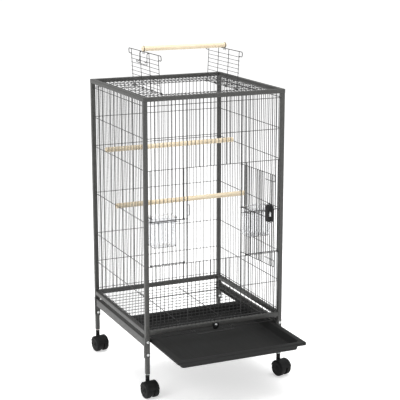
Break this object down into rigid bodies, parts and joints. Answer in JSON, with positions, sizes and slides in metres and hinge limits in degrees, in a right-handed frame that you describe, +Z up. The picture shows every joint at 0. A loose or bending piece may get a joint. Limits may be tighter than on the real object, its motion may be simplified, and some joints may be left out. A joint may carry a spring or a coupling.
{
  "type": "bird cage on stand",
  "caption": "Tall square wire bird cage on a low stand with casters, hinged front door, feeder doors, pull-out tray and an open play top with a perch.",
  "frame": {"origin": "on the floor, under the middle of the square cage frame", "axes": "+X to the right seen from the door side, +Y away from the door towards the back wall, +Z up"},
  "size_m": [0.5076, 0.6791, 1.0467],
  "materials": {
    "frame_coat": "dark hammered powder coat, satin",
    "zinc": "bright zinc plate",
    "nylon": "white nylon",
    "dowel": "bare pine, sanded",
    "smoke_plastic": "clear smoke grey",
    "tray_coat": "black powder coat, satin",
    "black_plastic": "moulded, satin"
  },
  "bodies": {
    "cage_frame": {"post_front_left": "frame_coat", "post_front_right": "frame_coat", "post_back_left": "frame_coat", "post_back_right": "frame_coat", "top_rail_front": "frame_coat", "top_rail_back": "frame_coat", "top_rail_left": "frame_coat", "top_rail_right": "frame_coat", "bottom_rail_front": "frame_coat", "bottom_rail_back": "frame_coat", "bottom_rail_left": "frame_coat", "bottom_rail_right": "frame_coat", "wall_left": "frame_coat", "wall_right": "frame_coat", "wall_back": "frame_coat", "front_wall_upper": "frame_coat", "front_wall_lower": "frame_coat", "front_wall_left": "frame_coat", "front_wall_right": "frame_coat", "door_jambs": "frame_coat", "feeder_guides": "frame_coat", "roof_front": "frame_coat", "roof_back": "frame_coat", "roof_left": "frame_coat", "roof_right": "frame_coat", "stand_side_left": "frame_coat", "stand_side_right": "frame_coat", "leg_front_left": "frame_coat", "leg_front_right": "frame_coat", "leg_back_left": "frame_coat", "leg_back_right": "frame_coat", "frame_bolts": "zinc", "frame_nuts": "zinc", "leg_washers": "nylon", "perch_upper": "dowel", "perch_lower": "dowel"},
    "main_door": {"main_door": "frame_coat", "latch_housing": "black_plastic"},
    "latch_tongue": {"latch_tongue": "zinc"},
    "feeder_door_left": {"feeder_door_left": "frame_coat"},
    "feeder_door_right": {"feeder_door_right": "frame_coat"},
    "feeder_cup_left": {"feeder_cup_left": "smoke_plastic"},
    "feeder_cup_right": {"feeder_cup_right": "smoke_plastic"},
    "tray": {"tray": "tray_coat"},
    "floor_grille": {"floor_grille": "frame_coat"},
    "tray_latch": {"tray_latch": "black_plastic"},
    "top_door_left": {"top_door_left": "frame_coat"},
    "top_door_right": {"top_door_right": "frame_coat"},
    "top_perch": {"top_perch": "dowel", "perch_clips": "frame_coat"},
    "closing_hook": {"closing_hook": "frame_coat"},
    "caster_front_left": {"caster_front_left": "black_plastic"},
    "wheels_front_left": {"wheels_front_left": "black_plastic"},
    "caster_front_right": {"caster_front_right": "black_plastic"},
    "wheels_front_right": {"wheels_front_right": "black_plastic"},
    "caster_back_left": {"caster_back_left": "black_plastic"},
    "wheels_back_left": {"wheels_back_left": "black_plastic"},
    "caster_back_right": {"caster_back_right": "black_plastic"},
    "wheels_back_right": {"wheels_back_right": "black_plastic"}
  },
  "joints": [
    {"name": "main_door_hinge", "type": "hinge", "parent": "cage_frame", "child": "main_door", "pos_m": [0.09038, -0.2242, 0.56], "axis": [0, 0, 1], "range_deg": [-94, 16]},
    {"name": "latch_slide", "type": "slide", "parent": "main_door", "child": "latch_tongue", "axis": [0.0698, -0.9976, 0], "range_m": [0, 0.008]},
    {"name": "feeder_door_left_slide", "type": "slide", "parent": "cage_frame", "child": "feeder_door_left", "axis": [0, 0, 1], "range_m": [0, 0.11]},
    {"name": "feeder_door_right_slide", "type": "slide", "parent": "cage_frame", "child": "feeder_door_right", "axis": [0, 0, 1], "range_m": [0, 0.11]},
    {"name": "feeder_cup_left_lift", "type": "slide", "parent": "cage_frame", "child": "feeder_cup_left", "axis": [0, 0, 1], "range_m": [0, 0.03]},
    {"name": "feeder_cup_right_lift", "type": "slide", "parent": "cage_frame", "child": "feeder_cup_right", "axis": [0, 0, 1], "range_m": [0, 0.03]},
    {"name": "tray_slide", "type": "slide", "parent": "cage_frame", "child": "tray", "axis": [0, -1, 0], "range_m": [-0.205, 0.15]},
    {"name": "floor_grille_slide", "type": "slide", "parent": "cage_frame", "child": "floor_grille", "axis": [0, -1, 0], "range_m": [0, 0.35]},
    {"name": "tray_latch_turn", "type": "hinge", "parent": "cage_frame", "child": "tray_latch", "pos_m": [0, -0.2349, 0.2], "axis": [0, 1, 0], "range_deg": [-90, 90]},
    {"name": "top_door_left_hinge", "type": "hinge", "parent": "cage_frame", "child": "top_door_left", "pos_m": [-0.126, 0, 0.912], "axis": [0, 1, 0], "range_deg": [0, 93]},
    {"name": "top_door_right_hinge", "type": "hinge", "parent": "cage_frame", "child": "top_door_right", "pos_m": [0.126, 0, 0.912], "axis": [0, 1, 0], "range_deg": [-93, 0]},
    {"name": "top_perch_lift", "type": "slide", "parent": "cage_frame", "child": "top_perch", "axis": [0, 0, 1], "range_m": [0, 0.15]},
    {"name": "closing_hook_swing", "type": "hinge", "parent": "top_door_left", "child": "closing_hook", "pos_m": [-0.13512, 0, 1.02768], "axis": [0, 1, 0], "range_deg": [0, 150]},
    {"name": "caster_front_left_swivel", "type": "hinge", "parent": "cage_frame", "child": "caster_front_left", "pos_m": [-0.226, -0.226, 0.06], "axis": [0, 0, 1], "continuous": true},
    {"name": "wheels_front_left_roll", "type": "hinge", "parent": "caster_front_left", "child": "wheels_front_left", "pos_m": [-0.22391, -0.24085, 0.025], "axis": [-0.9903, -0.1392, 0], "continuous": true},
    {"name": "caster_front_right_swivel", "type": "hinge", "parent": "cage_frame", "child": "caster_front_right", "pos_m": [0.226, -0.226, 0.06], "axis": [0, 0, 1], "continuous": true},
    {"name": "wheels_front_right_roll", "type": "hinge", "parent": "caster_front_right", "child": "wheels_front_right", "pos_m": [0.22988, -0.24049, 0.025], "axis": [-0.9659, -0.2588, 0], "continuous": true},
    {"name": "caster_back_left_swivel", "type": "hinge", "parent": "cage_frame", "child": "caster_back_left", "pos_m": [-0.226, 0.226, 0.06], "axis": [0, 0, 1], "continuous": true},
    {"name": "wheels_back_left_roll", "type": "hinge", "parent": "caster_back_left", "child": "wheels_back_left", "pos_m": [-0.2234, 0.21123, 0.025], "axis": [-0.9848, -0.1736, 0], "continuous": true},
    {"name": "caster_back_right_swivel", "type": "hinge", "parent": "cage_frame", "child": "caster_back_right", "pos_m": [0.226, 0.226, 0.06], "axis": [0, 0, 1], "continuous": true},
    {"name": "wheels_back_right_roll", "type": "hinge", "parent": "caster_back_right", "child": "wheels_back_right", "pos_m": [0.23113, 0.21191, 0.025], "axis": [-0.9397, -0.342, 0], "continuous": true}
  ]
}
